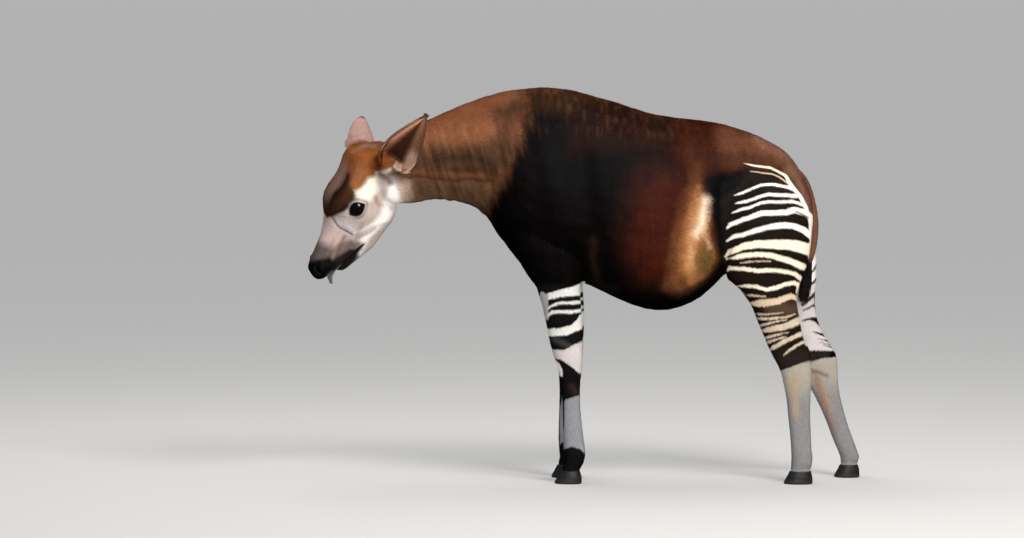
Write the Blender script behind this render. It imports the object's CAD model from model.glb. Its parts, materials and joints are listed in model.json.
import json
import math
import bmesh
import bpy
import numpy as np
from mathutils import Matrix, Vector

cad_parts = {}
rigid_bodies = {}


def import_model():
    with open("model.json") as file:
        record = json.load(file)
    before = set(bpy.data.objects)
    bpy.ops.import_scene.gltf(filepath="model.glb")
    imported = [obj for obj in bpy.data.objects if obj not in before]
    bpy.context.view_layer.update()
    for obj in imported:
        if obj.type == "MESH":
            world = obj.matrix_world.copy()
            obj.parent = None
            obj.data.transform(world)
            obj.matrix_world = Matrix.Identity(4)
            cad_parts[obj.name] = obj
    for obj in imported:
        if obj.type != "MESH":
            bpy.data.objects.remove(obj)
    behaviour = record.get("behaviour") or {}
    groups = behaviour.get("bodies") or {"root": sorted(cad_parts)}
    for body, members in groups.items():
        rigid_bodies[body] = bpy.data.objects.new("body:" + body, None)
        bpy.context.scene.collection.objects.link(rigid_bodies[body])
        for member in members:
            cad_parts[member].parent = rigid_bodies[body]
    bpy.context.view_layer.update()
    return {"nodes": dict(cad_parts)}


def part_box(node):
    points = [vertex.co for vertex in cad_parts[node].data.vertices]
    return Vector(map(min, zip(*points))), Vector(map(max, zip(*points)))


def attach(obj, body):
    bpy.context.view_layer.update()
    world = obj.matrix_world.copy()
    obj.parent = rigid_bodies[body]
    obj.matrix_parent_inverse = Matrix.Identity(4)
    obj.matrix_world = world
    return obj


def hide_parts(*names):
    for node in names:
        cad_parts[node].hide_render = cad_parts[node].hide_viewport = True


for start_object in list(bpy.data.objects):
    bpy.data.objects.remove(start_object)
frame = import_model()
rng = np.random.default_rng(7)

# Sizes in millimetres, in the frame the solids are designed in: X from the withers, Z from the floor
VOXEL = 6.0
COAT_DEPTH = 3.0
FACE_DEPTH = 1.6
HEAD_ORIGIN = np.array([-663.0, -45.0, 1315.0])
HEAD_PITCH = math.radians(62.3)
HEAD_ROLL = math.radians(34)
EYE_RADIUS = 31.0
EYE_PLACE = np.array([228.0, 80.0, -15.0])
EYE_TILT = math.radians(24)
EAR_HALF_WIDTH = 63.0
EAR_WALL = 6.0
CAMERA = np.array([-110.5, -15978.0, 1674.0])
AIM = np.array([-110.5, 0.0, 837.0])
LENS = 142.5
# Where the coat's parts end, along the body and in height
NECK_END = -110
FORE_START, FORE_END, FORE_TOP = -100, 330, 800
HIND_START, HIND_TOP = 690, 1290
HOOF_TOP = 62


# ---- small tools for numbers

def through(points):
    """A smooth curve through stations, the same as in the solids."""
    xs = np.array([p[0] for p in points], float)
    ys = np.array([p[1] for p in points], float)
    last = len(points) - 1
    slopes = np.array([
        (ys[min(i + 1, last)] - ys[max(i - 1, 0)]) / (xs[min(i + 1, last)] - xs[max(i - 1, 0)])
        for i in range(last + 1)
    ])

    def curve(x):
        x = np.asarray(x, float)
        i = np.clip(np.searchsorted(xs, x, side="left") - 1, 0, last - 1)
        h = xs[i + 1] - xs[i]
        t = np.clip((x - xs[i]) / h, 0, 1)
        rise = h * (slopes[i] * t * (1 - t) ** 2 - slopes[i + 1] * t * t * (1 - t))
        return ys[i] + (ys[i + 1] - ys[i]) * t * t * (3 - 2 * t) + rise

    return curve


def soft(a, b, x):
    t = np.clip((x - a) / (b - a), 0, 1)
    return t * t * (3 - 2 * t)


def unit(v):
    v = np.asarray(v, float)
    return v / np.maximum(np.linalg.norm(v, axis=-1, keepdims=True), 1e-9)


def noise(points, size, seed=0):
    """Smooth noise between -1 and 1 at points in millimetres."""
    q = np.asarray(points, float) / size
    cell = np.floor(q).astype(np.int64)
    f = q - cell
    f = f * f * (3 - 2 * f)
    total = np.zeros(len(q))
    for corner in range(8):
        d = np.array([corner & 1, corner >> 1 & 1, corner >> 2 & 1])
        c = cell + d
        h = c[:, 0] * 73856093 ^ c[:, 1] * 19349663 ^ c[:, 2] * 83492791 ^ seed * 40503
        h = (h & 0xFFFFFFFF) * 2654435761 & 0xFFFFFFFF
        h = ((h ^ h >> 15) * 2246822519) & 0xFFFFFFFF
        value = (h >> 8 & 0xFFFF) / 32767.5 - 1
        total += value * np.prod(np.where(d, f, 1 - f), axis=1)
    return total


def line_distance(x, z, points):
    """Distance to a line of points, and the share of the way along it."""
    best = np.full(len(x), 1e9)
    share = np.zeros(len(x))
    for i in range(len(points) - 1):
        (ax, az), (bx, bz) = points[i], points[i + 1]
        dx, dz = bx - ax, bz - az
        t = np.clip(((x - ax) * dx + (z - az) * dz) / max(dx * dx + dz * dz, 1e-9), 0, 1)
        d = np.hypot(x - ax - t * dx, z - az - t * dz)
        near = d < best
        best = np.where(near, d, best)
        share = np.where(near, (i + t) / (len(points) - 1), share)
    return best, share


def inside(x, z, points):
    """Signed distance to a closed outline, positive inside."""
    ring = list(points) + [points[0]]
    d, _ = line_distance(x, z, ring)
    odd = np.zeros(len(x), bool)
    for (ax, az), (bx, bz) in zip(ring[:-1], ring[1:]):
        if az == bz:
            continue
        crosses = (az > z) != (bz > z)
        odd ^= crosses & (x < (bx - ax) * (z - az) / (bz - az) + ax)
    return np.where(odd, d, -d)


# ---- the head's own frame: X from the poll to the nose, Y to its left, Z up from the face
def turn(v, axis, angle):
    return np.array(Matrix.Rotation(angle, 3, Vector(axis)) @ Vector(v))


NOSE = np.array([-math.cos(HEAD_PITCH), 0, -math.sin(HEAD_PITCH)])
CROWN = turn([-math.sin(HEAD_PITCH), 0, math.cos(HEAD_PITCH)], NOSE, -HEAD_ROLL)
LEFT = np.cross(CROWN, NOSE)
HEAD_AXES = np.stack([NOSE, LEFT, CROWN])


def to_head(p):
    return (p - HEAD_ORIGIN) @ HEAD_AXES.T


def from_head(q):
    return np.asarray(q, float) @ HEAD_AXES + HEAD_ORIGIN


FACE_UP = turn(CROWN, NOSE, HEAD_ROLL)
FACE_OUT = turn(LEFT, NOSE, HEAD_ROLL)
FACE_AXES = np.stack([NOSE, FACE_UP, FACE_OUT])


def from_face(q):
    return np.asarray(q, float) @ FACE_AXES + HEAD_ORIGIN


# The design frame's own place in the row frame follows from an eye
eye_low, eye_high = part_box("eye_left")
SHIFT = np.array((eye_low + eye_high) / 2) * 1000 - from_head(EYE_PLACE)


# ---- meshes to and from arrays
def linked(name, data):
    obj = bpy.data.objects.new(name, data)
    bpy.context.scene.collection.objects.link(obj)
    return obj


def make_object(name, points, faces):
    mesh = bpy.data.meshes.new(name)
    mesh.from_pydata(((np.asarray(points) + SHIFT) / 1000).tolist(), [], [list(f) for f in faces])
    mesh.update()
    mesh.shade_smooth()
    return linked(name, mesh)


def facing_out(obj):
    """Turns all faces of a closed mesh outward."""
    bm = bmesh.new()
    bm.from_mesh(obj.data)
    bmesh.ops.recalc_face_normals(bm, faces=bm.faces)
    bm.to_mesh(obj.data)
    bm.free()
    return obj


def read(mesh):
    co = np.empty(len(mesh.vertices) * 3)
    mesh.vertices.foreach_get("co", co)
    return co.reshape(-1, 3) * 1000 - SHIFT


def write(mesh, points):
    mesh.vertices.foreach_set("co", ((points + SHIFT) / 1000).ravel())
    mesh.update()


def normals(mesh):
    n = np.empty(len(mesh.vertices) * 3)
    mesh.vertices.foreach_get("normal", n)
    return n.reshape(-1, 3)


def edges(mesh):
    e = np.empty(len(mesh.edges) * 2, np.int32)
    mesh.edges.foreach_get("vertices", e)
    return e.reshape(-1, 2)


def relax(points, links, weight, rounds, keep=True):
    """Smooths points over their links. With keep, the volume stays."""
    n = len(points)
    a, b = links[:, 0], links[:, 1]
    count = np.maximum(np.bincount(links.ravel(), minlength=n), 1)
    steps = (0.5, -0.515) if keep else (0.5,)
    for _ in range(rounds):
        for step in steps:
            mean = np.stack([
                np.bincount(a, points[b, k], n) + np.bincount(b, points[a, k], n) for k in range(3)
            ], 1) / count[:, None]
            points = points + step * weight[:, None] * (mean - points)
    return points


def with_modifier(obj, kind, **settings):
    """Applies one modifier and gives back the new mesh on the same object."""
    mod = obj.modifiers.new(kind, kind)
    for key, value in settings.items():
        setattr(mod, key, value)
    depsgraph = bpy.context.evaluated_depsgraph_get()
    made = bpy.data.meshes.new_from_object(obj.evaluated_get(depsgraph))
    obj.modifiers.clear()
    old = obj.data
    obj.data = made
    bpy.data.meshes.remove(old)
    return obj


def drop(obj):
    data = obj.data
    bpy.data.objects.remove(obj)
    bpy.data.meshes.remove(data)


def cad_copy(bm, name, grow):
    """Adds a CAD node's closed surface to bm, pushed out by grow millimetres."""
    piece = bmesh.new()
    piece.from_mesh(frame["nodes"][name].data)
    bmesh.ops.remove_doubles(piece, verts=piece.verts, dist=1e-5)
    piece.normal_update()
    moved = {v: v.co + v.normal * grow / 1000 for v in piece.verts}
    copies = {v: bm.verts.new(p) for v, p in moved.items()}
    for f in piece.faces:
        bm.faces.new([copies[v] for v in f.verts])
    piece.free()


def ball(bm, centre, radius, levels=4):
    place = Matrix.Translation(Vector((np.asarray(centre) + SHIFT) / 1000))
    bmesh.ops.create_icosphere(bm, subdivisions=levels, radius=radius / 1000, matrix=place)


def bm_object(name, bm):
    mesh = bpy.data.meshes.new(name)
    bm.to_mesh(mesh)
    bm.free()
    return linked(name, mesh)


def remeshed(name, nodes, voxel, grow=0.5, extra=()):
    bm = bmesh.new()
    for node in nodes:
        cad_copy(bm, node, grow)
    for centre, radius in extra:
        ball(bm, centre, radius)
    obj = bm_object(name, bm)
    return with_modifier(obj, "REMESH", mode="VOXEL", voxel_size=voxel / 1000, use_smooth_shade=True)


def largest_part(obj):
    """Keeps only the largest connected part of a mesh."""
    e = edges(obj.data)
    n = len(obj.data.vertices)
    label = np.arange(n)
    while True:
        low = np.minimum(label[e[:, 0]], label[e[:, 1]])
        new = label.copy()
        np.minimum.at(new, e[:, 0], low)
        np.minimum.at(new, e[:, 1], low)
        new = new[new]
        if (new == label).all():
            break
        label = new
    main = np.bincount(label).argmax()
    bm = bmesh.new()
    bm.from_mesh(obj.data)
    bm.verts.ensure_lookup_table()
    bmesh.ops.delete(bm, geom=[bm.verts[i] for i in np.nonzero(label != main)[0]], context="VERTS")
    bm.to_mesh(obj.data)
    bm.free()


def boolean(obj, other, operation):
    with_modifier(obj, "BOOLEAN", object=other, operation=operation, solver="MANIFOLD")
    drop(other)


def finer(obj, wanted):
    """Cuts each edge in two where both its ends are wanted."""
    keep = wanted(read(obj.data))
    bm = bmesh.new()
    bm.from_mesh(obj.data)
    chosen = [e for e in bm.edges if keep[e.verts[0].index] and keep[e.verts[1].index]]
    bmesh.ops.subdivide_edges(bm, edges=chosen, cuts=1, use_grid_fill=True)
    bm.to_mesh(obj.data)
    bm.free()


# ---- ears: the same rolled leaf as in the solids, thin and with round rims
LEAF_STATIONS = (0, 0.12, 0.25, 0.38, 0.5, 0.65, 0.8, 0.92, 1)
LEFT_LEAF = zip(LEAF_STATIONS, (0.7, 1.12, 1.26, 1.2, 1.04, 0.76, 0.46, 0.22, 0.06))
RIGHT_LEAF = zip(LEAF_STATIONS, (0.66, 0.94, 1, 0.98, 0.9, 0.77, 0.58, 0.36, 0.14))
EARS = {
    "left": dict(base=[31, -90, 58], tip=[-216, -132, 150], facing=[0.1, -0.35, 0.93], bow=[-15, 0, 33],
                 leaf=through(list(LEFT_LEAF))),
    "right": dict(base=[34, 14, -52], tip=[-84, 92, -276], facing=[1, 0.2, -0.6], bow=[-6, 4, 0],
                  leaf=through(list(RIGHT_LEAF))),
}
# how far round the cup goes, in radians to each side
roll = through([(0, 2.3), (0.12, 1.75), (0.25, 1.42), (0.5, 1.2), (0.8, 0.95), (1, 0.7)])


def ear_frame(spec):
    """Root, way to the tip, across, the way the cup looks, length, and how far the ear bows."""
    start = from_face(spec["base"])
    along = from_face(spec["tip"]) - start
    length = np.linalg.norm(along)
    along = along / length
    look = np.asarray(spec["facing"], float) @ FACE_AXES
    look = unit(look - look.dot(along) * along)
    across = np.cross(look, along)
    side = np.asarray(spec["bow"], float) @ FACE_AXES
    return start, along, across, look, length, side


def ear_point(spec, s, angle, depth):
    """A point of the ear: s from root to tip, angle round the cup, depth from the back into the cup."""
    start, along, across, look, length, side = ear_frame(spec)
    half = spec["leaf"](s) * EAR_HALF_WIDTH
    turned = roll(s)
    radius = half / np.sin(np.minimum(turned, math.pi / 2))
    a = angle * turned
    r = radius - depth
    sunk = radius * (1 - np.cos(turned))
    y = r * np.sin(a)
    z = radius - r * np.cos(a) - 0.5 * sunk
    return (start + (s * length)[..., None] * along + y[..., None] * across + z[..., None] * look
            + (4 * s * (1 - s))[..., None] * side)


def ear_object(side):
    spec = EARS[side]
    steps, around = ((70, 36))
    s = np.linspace(0.02, 0.985, steps)
    rings = []
    for value in s:
        wall = min(EAR_WALL, float(spec["leaf"](value)) * EAR_HALF_WIDTH * 0.5)
        thin = max(wall - 2 * 0.7, 1.2) + 3.5 * float(soft(0.34, 0.2, value))
        middle = wall / 2
        a = np.linspace(-1, 1, around)
        rim = thin / 2 * np.clip((1 - np.abs(a)) * 9, 0, 1) ** 0.5
        sv = np.full(around, value)
        back = ear_point(spec, sv, a, middle - rim)
        front = ear_point(spec, sv, a, middle + rim)
        rings.append(np.concatenate([back, front[-2:0:-1]]))
    count = len(rings[0])
    points = np.concatenate(rings)
    faces = []
    for i in range(steps - 1):
        for j in range(count):
            k = (j + 1) % count
            faces.append((i * count + j, i * count + k, (i + 1) * count + k, (i + 1) * count + j))
    # the two ends are closed across the strip
    for i, flip in ((0, True), (steps - 1, False)):
        for j in range(around - 1):
            a, b = j, j + 1
            c, d = (count - b) % count, (count - a) % count
            quad = list(dict.fromkeys(i * count + k for k in (a, b, c, d)))
            if len(quad) > 2:
                faces.append(quad[::-1] if not flip else quad)
    return facing_out(make_object("ear_" + side, points, faces))


# ---- the tail's rope
TAIL_LINE = [(960, 0, 1225), (1022, 0, 1180), (1062, 0, 1095), (1080, 0, 1005), (1072, -4, 915),
             (1052, -10, 850)]


def tail_point(t):
    """A point on the tail's line, t from 0 at the root to 1 at the tip."""
    p = np.array(TAIL_LINE, float)
    lengths = np.concatenate([[0], np.cumsum(np.linalg.norm(np.diff(p, axis=0), axis=1))])
    at = t * lengths[-1]
    return np.stack([through(list(zip(lengths, p[:, k])))(at) for k in range(3)], -1)


tail_radius = through([(0, 40), (0.3, 27), (0.6, 17), (0.9, 14), (1, 9)])


def tail_ring(t, step):
    """The tail's own direction at t, and the two directions across it."""
    ahead = unit(tail_point(np.minimum(t + step, 1)) - tail_point(np.maximum(t - step, 0)))
    across = unit(np.cross(ahead, [0, 1, 0]))
    return ahead, across, np.cross(ahead, across)


def tail_rope(steps=60, sides=20, sunk=1.0):
    t = np.linspace(0, 1, steps)
    _, across, other = tail_ring(t, 0.01)
    angle = np.linspace(0, 2 * math.pi, sides, endpoint=False)
    ring = (np.cos(angle)[None, :, None] * across[:, None] + np.sin(angle)[None, :, None] * other[:, None])
    points = (tail_point(t)[:, None] + ring * (tail_radius(t) - sunk)[:, None, None]).reshape(-1, 3)
    faces = [[i * sides + j, i * sides + k, (i + 1) * sides + k, (i + 1) * sides + j]
             for i in range(steps - 1) for j in range(sides) for k in [(j + 1) % sides]]
    faces += [list(range(sides))[::-1], [(steps - 1) * sides + j for j in range(sides)]]
    return facing_out(make_object("rope", points, faces))


# ---- the mouth's slot
MOUTH_CORNER = (352, -140)
LIP_FRONT = 490
MOUTH_GAP = 14.0
mouth_line = through([MOUTH_CORNER, (400, -124), (450, -104), (LIP_FRONT, -91), (640, -84)])


def mouth_open(x):
    return np.maximum(soft(340, LIP_FRONT, x) * MOUTH_GAP, 0.8)


def off_mouth(h):
    """Distance up or down to the mouth's slot, for points in the head's frame."""
    half = 0.5 * mouth_open(h[:, 0])
    return np.abs(h[:, 2] - mouth_line(h[:, 0]) + half) - half


def mouth_wedge():
    x = np.linspace(MOUTH_CORNER[0] - 4, 600, 60)
    top = mouth_line(x) + 1.2
    low = mouth_line(x) - mouth_open(x) - 1.2
    outline = np.concatenate([np.stack([x, top], 1), np.stack([x, low], 1)[::-1]])
    n = len(outline)
    points = [np.stack([outline[:, 0], np.full(n, y), outline[:, 1]], 1) for y in (-120, 120)]
    faces = [[j, (j + 1) % n, n + (j + 1) % n, n + j] for j in range(n)]
    faces += [list(range(n)), [n + j for j in range(n)][::-1]]
    return facing_out(make_object("mouth_wedge", from_head(np.concatenate(points)), faces))


# ---- where a point lies: side of the face, legs, ears
COS_ROLL, SIN_ROLL = math.cos(HEAD_ROLL), math.sin(HEAD_ROLL)


def side_of_face(points):
    """Along to the nose, up, and out of the cheek. The far side is mirrored on the near one."""
    h = to_head(points)
    y = np.abs(h[:, 1])
    return h[:, 0], h[:, 2] * COS_ROLL - y * SIN_ROLL, y * COS_ROLL + h[:, 2] * SIN_ROLL


def on_head(points):
    h = to_head(points)
    near = np.linalg.norm(points - from_head([250, 0, -80]), axis=1)
    return soft(-90, -40, h[:, 0]) * soft(430, 400, near) * soft(-515, -560, points[:, 0])


# How far back each far leg stands behind its near one, by height
hind_step = through([(50, 212), (150, 184), (230, 162), (330, 132), (430, 100), (517, 88), (616, 59),
                     (722, 47), (878, 34), (976, 20), (1110, 8)])
fore_step = through([(50, -9), (251, -13), (330, -7), (408, -2), (505, 6), (643, 13), (780, 14)])


def leg_place(points):
    """Side-plane coordinates of the legs, with the far ones moved onto the near ones."""
    far = soft(-12, 12, points[:, 1])
    z = points[:, 2]
    step = np.where(points[:, 0] > 500, hind_step(z), fore_step(z))
    return points[:, 0] - far * step, z


# ---- the skin's own shape
EYE_A = float(EYE_PLACE[0])
EYE_B = float(EYE_PLACE[2] * COS_ROLL - EYE_PLACE[1] * SIN_ROLL)
EYE_OUT = float(EYE_PLACE[1] * COS_ROLL + EYE_PLACE[2] * SIN_ROLL)
LID_CENTRE = (235.0, -64.0)


def arc(start, control, end, count=12):
    t = np.linspace(0, 1, count)[:, None]
    return (1 - t) ** 2 * np.array(start) + 2 * t * (1 - t) * np.array(control) + t * t * np.array(end)


UPPER_LID = arc((-31, -2), (-4, 50), (34, 3))
LID_LINE = np.concatenate([UPPER_LID, arc((34, 3), (8, -42), (-31, -2))[1:-1]])


def lid_distance(a, b):
    """Signed distance to the eye's opening, positive inside it."""
    da, db = a - LID_CENTRE[0], b - LID_CENTRE[1]
    u = da * math.cos(EYE_TILT) + db * math.sin(EYE_TILT)
    v = -da * math.sin(EYE_TILT) + db * math.cos(EYE_TILT)
    return inside(u, v, [tuple(p) for p in LID_LINE])


def round_eye(a, b, out, radius, deep):
    """True within radius of the eye's middle and not deeper in the head than deep."""
    return (np.hypot(a - EYE_A, b - EYE_B) < radius) & (out > EYE_OUT - deep)


FOLDS = [  # points in face coordinates, width, height
    ([(313, 10), (335, -24), (333, -54), (339, -84), (339, -102)], 6, -3.2),
    ([(328, -96), (305, -115), (280, -129), (244, -164), (228, -195)], 9, 2.6),
    ([(355, -88), (396, -78), (443, -81), (473, -83)], 6, -2.4),
    ([(369, -104), (368, -131), (349, -143)], 8, 2.2),
    ([(356, -111), (329, -137), (308, -161)], 14, 2.0),
    ([(300, -40), (318, -66)], 18, 2.4),
    ([(144, 27), (191, 25), (246, 45), (301, 47)], 10, -2.0),
    ([(160, -86), (110, -96)], 16, 3.2),
    ([(204, -18), (178, -40), (166, -72)], 9, 2.6),
    ([(110, -150), (190, -168), (250, -160)], 26, 2.0),
    ([(420, -30), (500, -22)], 22, 1.6),
]
MUSCLES = [  # points in side-plane coordinates, width, height
    ([(-20, 1440), (55, 1130)], 45, 7),
    ([(150, 1340), (190, 1010)], 38, -6),
    ([(-90, 1040), (-60, 960)], 55, 7),
    ([(185, 905), (175, 860)], 40, 6),
    ([(95, 900), (110, 800)], 30, 4),
    ([(690, 1330), (740, 1300)], 42, 7),
    ([(705, 1190), (690, 1010), (716, 893)], 24, -9),
    ([(745, 930), (760, 880)], 45, 6),
    ([(985, 1120), (965, 930), (935, 720)], 22, -4),
    ([(930, 660), (980, 540)], 11, -4),
    ([(-399, 1233), (-352, 1219), (-282, 1216), (-228, 1227)], 16, -7),
    ([(-528, 1147), (-430, 1155), (-274, 1163), (-220, 1155)], 24, 4),
    ([(-215, 1090), (-207, 1190), (-160, 1235)], 18, -4),
]


def ridge(x, z, line, width):
    """1 on a line, and less away from it."""
    return np.exp(-(line_distance(x, z, line)[0] / width) ** 2)


def upright(points, z):
    """Points drawn together across and down, so that noise over them makes upright creases."""
    return np.stack([points[:, 0] + 0.3 * (z - 1300), points[:, 1] / 5, z / 7], 1)


def sculpted(points, normal):
    """The skin's points with lids, folds, muscles and wrinkles, sunk by the depth of the coat."""
    a, b, out = side_of_face(points)
    head = on_head(points)
    h = to_head(points)
    push = np.zeros(len(points))
    cheek = head * soft(-0.1, 0.25, (normal @ FACE_OUT) * np.sign(h[:, 1]) + 0.15)
    near = np.nonzero(head > 0)[0]
    for line, width, height in FOLDS:
        push[near] += height * ridge(a[near], b[near], line, width) * cheek[near]
    x, z = leg_place(points)
    flank = (1 - head) * soft(30, 70, np.abs(points[:, 1] + 45 * soft(-250, -450, points[:, 0])))
    for line, width, height in MUSCLES:
        push += height * ridge(x, z, line, width) * flank
    wrinkle = noise(upright(points, points[:, 2]), 19, 11)
    neck = soft(-540, -470, points[:, 0]) * soft(-60, -190, points[:, 0]) * soft(1440, 1280, points[:, 2])
    push += 3.0 * wrinkle * neck
    swell = noise(points, 90, 12) * 2.2 + noise(points, 38, 13) * 0.8
    push += swell * (1 - head) * soft(500, 800, points[:, 2])
    # nostrils: a comma that runs up and back from its deep end
    d, share = line_distance(h[:, 0], h[:, 2], [(530, -34), (526, -20), (514, -9), (500, -6)])
    nose = soft(14, 24, np.abs(h[:, 1])) * soft(66, 52, np.abs(h[:, 1])) * (h[:, 0] > 470) * head
    slit = (9 - 6 * share) * np.exp(-(d / (6 - 2 * share)) ** 2)
    push += nose * (2.2 * np.exp(-((d - 11) / 5) ** 2) - slit)
    bare = soft(455, 500, h[:, 0]) * head
    low = soft(520, 430, points[:, 2]) * (1 - head)
    depth = COAT_DEPTH + (FACE_DEPTH - COAT_DEPTH) * head - 1.0 * low
    depth = depth * (1 - 0.8 * bare)
    moved = points + normal * (push - depth)[:, None]
    # lids: the rim stands over the eyeball, and inside the opening the skin hides behind it
    near = np.nonzero((head > 0.5) & round_eye(a, b, out, 75, 12))[0]
    rho = np.hypot(a[near] - EYE_A, b[near] - EYE_B)
    d = lid_distance(a[near], b[near])
    at = side_of_face(moved[near])[2]
    rim = EYE_OUT + np.sqrt(np.maximum((EYE_RADIUS + 3.4) ** 2 - rho ** 2, 15.0 ** 2))
    rim = rim + 1.6 * np.exp(-((d + 4.5) / 3) ** 2)
    crease = 1.9 * np.exp(-((d + 10) / 2.2) ** 2) + 1.2 * np.exp(-((d + 17) / 2.6) ** 2)
    lid = at + (rim - at) * soft(-20, -3, d) - crease
    behind = EYE_OUT + np.sqrt(np.maximum((EYE_RADIUS - 3.5) ** 2 - rho ** 2, 9.0 ** 2))
    target = lid + (behind - lid) * soft(-1.0, 1.6, d)
    sign = np.sign(h[near, 1])[:, None]
    outward = FACE_AXES[2] - 2 * np.where(sign < 0, 1, 0) * (FACE_AXES[2] @ LEFT) * LEFT
    moved[near] += outward * (target - at)[:, None]
    # the ends of the legs run on down into the hooves
    foot = soft(60, 50.5, points[:, 2])
    moved[:, 2] -= 12 * foot
    return moved


FLESH = ["torso", "neck", "head", "foreleg_left", "foreleg_right", "hind_leg_left", "hind_leg_right"]
EYES = {"left": EYE_PLACE, "right": EYE_PLACE * [1, -1, 1]}
plugs = [(from_head(p), EYE_RADIUS + 4.5) for p in EYES.values()]
skin = remeshed("skin", FLESH, VOXEL, extra=plugs)
largest_part(skin)
P = read(skin.data)
links = edges(skin.data)
head_part = on_head(P)
leg_part = soft(640, 520, P[:, 2])
P = relax(P, links, np.where(head_part > 0.5, 0.5, 1.0) * (1 - 0.5 * leg_part), 8)
P = relax(P, links, (1 - head_part) * (1 - 0.85 * leg_part), 45)
write(skin.data, P)


def head_zone(p):
    return (to_head(p)[:, 0] > 0) & (p[:, 0] < -560)


def detail_zone(p):
    a, b, out = side_of_face(p)
    return (round_eye(a, b, out, 62, 20) | (a > 340)) & (p[:, 0] < -560)


def eye_zone(p):
    return round_eye(*side_of_face(p), 48, 0) & (p[:, 0] < -560)


finer(skin, head_zone)
finer(skin, detail_zone)
P = read(skin.data)
write(skin.data, relax(P, edges(skin.data), head_zone(P) * 0.8, 3))
finer(skin, eye_zone)
P = read(skin.data)
links = edges(skin.data)
P = relax(P, links, head_zone(P) * 0.8, 4)
# the crease between the jaw and the neck is rounded
jaw = np.exp(-(np.linalg.norm(P - [-560, -70, 1150], axis=1) / 70) ** 2)
P = relax(P, links, jaw, 25)
write(skin.data, P)
P = sculpted(P, normals(skin.data))
write(skin.data, P)
P = relax(P, links, 0.35 * np.ones(len(P)), 2)
write(skin.data, P)

for side in EARS:
    boolean(skin, ear_object(side), "UNION")
boolean(skin, tail_rope(), "UNION")
boolean(skin, mouth_wedge(), "DIFFERENCE")
largest_part(skin)
P = read(skin.data)
links = edges(skin.data)
joins = np.zeros(len(P))
for spec in EARS.values():
    start, along, across, look, length, side = ear_frame(spec)
    root = start + along * 0.16 * length
    joins = np.maximum(joins, soft(95, 50, np.linalg.norm(P - root, axis=1)) * 0.7)
joins = np.maximum(joins, soft(130, 70, np.linalg.norm(P - TAIL_LINE[0], axis=1)))
P = relax(P, links, joins, 14)
h = to_head(P)
lip = soft(9, 4, off_mouth(h))
lip = lip * (h[:, 0] > 345) * (P[:, 0] < -700)
P = relax(P, links, lip * 0.7, 4)
write(skin.data, P)
skin.data.shade_smooth()
N = normals(skin.data)


# ---- colours, as light linear red, green and blue
VELVET = (0.0019, 0.0014, 0.0012)
NIGHT = (0.0022, 0.0020, 0.0021)
UNDER = (0.0125, 0.0078, 0.0050)
CREAM = (0.90, 0.77, 0.60)
WHITE = (0.90, 0.84, 0.78)
YELLOW = (0.97, 0.85, 0.68)
TAN = (0.70, 0.55, 0.40)
SAND = (0.62, 0.515, 0.385)
LAVENDER = (0.60, 0.555, 0.555)
GREY = (0.46, 0.44, 0.42)
LEG = (0.280, 0.285, 0.310)
HOCK = (0.250, 0.243, 0.253)
FORE = (0.76, 0.745, 0.725)
BLACK = (0.006, 0.006, 0.0065)


def repeated(row, points):
    """The same three values for each of the points."""
    return np.tile(row, (len(points), 1))


def mix(colour, new, weight):
    return colour + (np.asarray(new) - colour) * np.clip(weight, 0, 1)[:, None]


def stroke(colour, x, z, line, width, edge, new, strength=1.0):
    d, _ = line_distance(x, z, line)
    return mix(colour, new, strength * soft(width + edge, width - edge, d))


def region(colour, x, z, outline, edge, new, strength=1.0):
    return mix(colour, new, strength * soft(-edge, edge, inside(x, z, outline)))


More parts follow.
